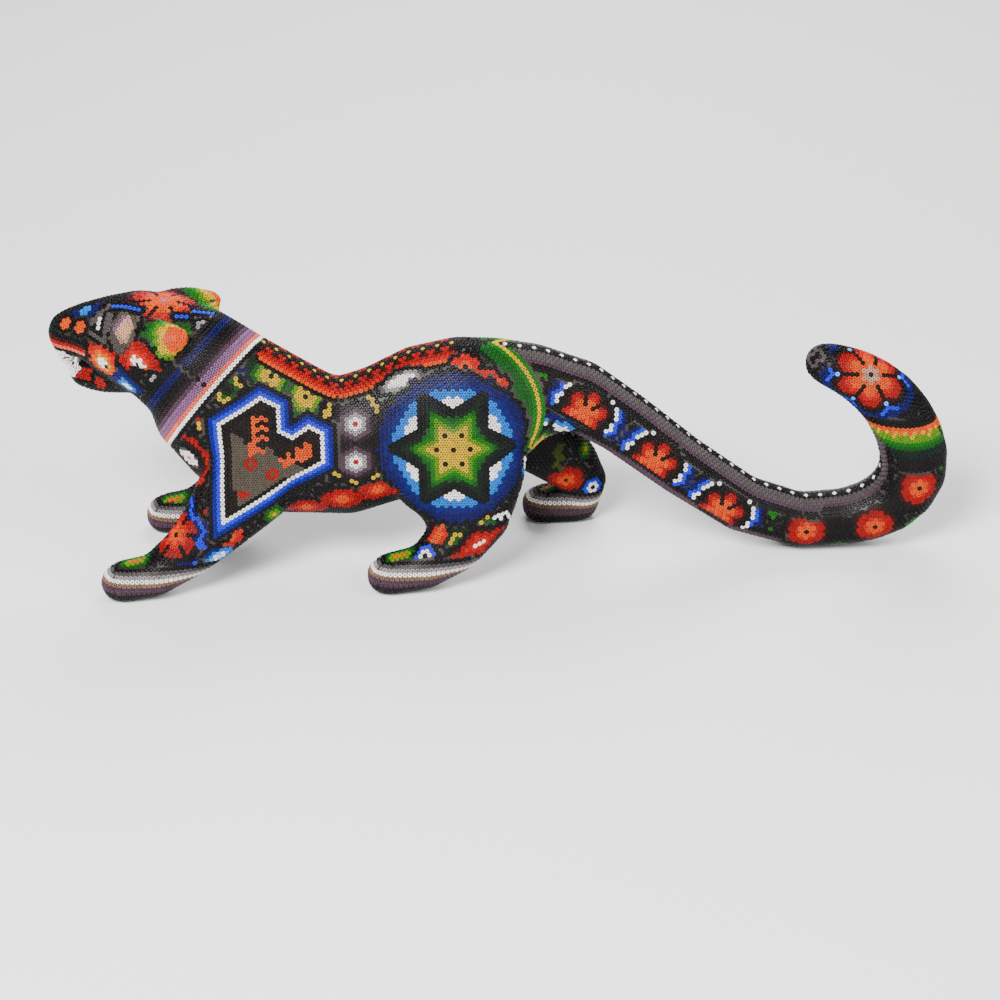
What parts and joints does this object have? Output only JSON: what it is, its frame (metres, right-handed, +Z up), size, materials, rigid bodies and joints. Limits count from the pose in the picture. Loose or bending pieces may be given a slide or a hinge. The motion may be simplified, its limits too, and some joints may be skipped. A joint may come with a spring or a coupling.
{
  "type": "beaded big cat figure",
  "caption": "Prowling big cat with a long hooked tail, carved from wood, coated in wax and covered all over in patterned seed beads.",
  "frame": {"origin": "on the floor under the middle of the figure's box", "axes": "+X from the head towards the tail, +Z up, +Y towards the animal's right side"},
  "size_m": [0.4006, 0.0824, 0.1299],
  "materials": {
    "carved_wood": "bare carved softwood, matt",
    "dowel_wood": "turned hardwood, matt",
    "beeswax": "smoothed beeswax and resin, satin; matte_plastic stands in for wax",
    "seed_beads": "opaque glass seed beads in many colours on black, glossy",
    "white_beads": "opaque white glass seed beads, glossy"
  },
  "bodies": {
    "root": {"torso_core": "carved_wood", "torso_wax": "beeswax", "torso_beads": "seed_beads", "head_core": "carved_wood", "head_wax": "beeswax", "head_beads": "seed_beads", "tail_base_core": "carved_wood", "tail_base_wax": "beeswax", "tail_base_beads": "seed_beads", "tail_middle_core": "carved_wood", "tail_middle_wax": "beeswax", "tail_middle_beads": "seed_beads", "tail_hook_core": "carved_wood", "tail_hook_wax": "beeswax", "tail_hook_beads": "seed_beads", "fore_left_leg_core": "carved_wood", "fore_left_leg_wax": "beeswax", "fore_left_leg_beads": "seed_beads", "fore_right_leg_core": "carved_wood", "fore_right_leg_wax": "beeswax", "fore_right_leg_beads": "seed_beads", "hind_left_leg_core": "carved_wood", "hind_left_leg_wax": "beeswax", "hind_left_leg_beads": "seed_beads", "hind_right_leg_core": "carved_wood", "hind_right_leg_wax": "beeswax", "hind_right_leg_beads": "seed_beads", "left_ear_core": "carved_wood", "left_ear_wax": "beeswax", "left_ear_beads": "seed_beads", "right_ear_core": "carved_wood", "right_ear_wax": "beeswax", "right_ear_beads": "seed_beads", "neck_dowel": "dowel_wood", "tail_dowel": "dowel_wood", "tail_middle_dowel": "dowel_wood", "tail_hook_dowel": "dowel_wood", "fore_left_leg_dowel": "dowel_wood", "fore_right_leg_dowel": "dowel_wood", "hind_left_leg_dowel": "dowel_wood", "hind_right_leg_dowel": "dowel_wood", "left_ear_peg": "dowel_wood", "right_ear_peg": "dowel_wood", "upper_left_fang": "white_beads", "upper_right_fang": "white_beads", "lower_left_fang": "white_beads", "lower_right_fang": "white_beads"}
  },
  "joints": []
}
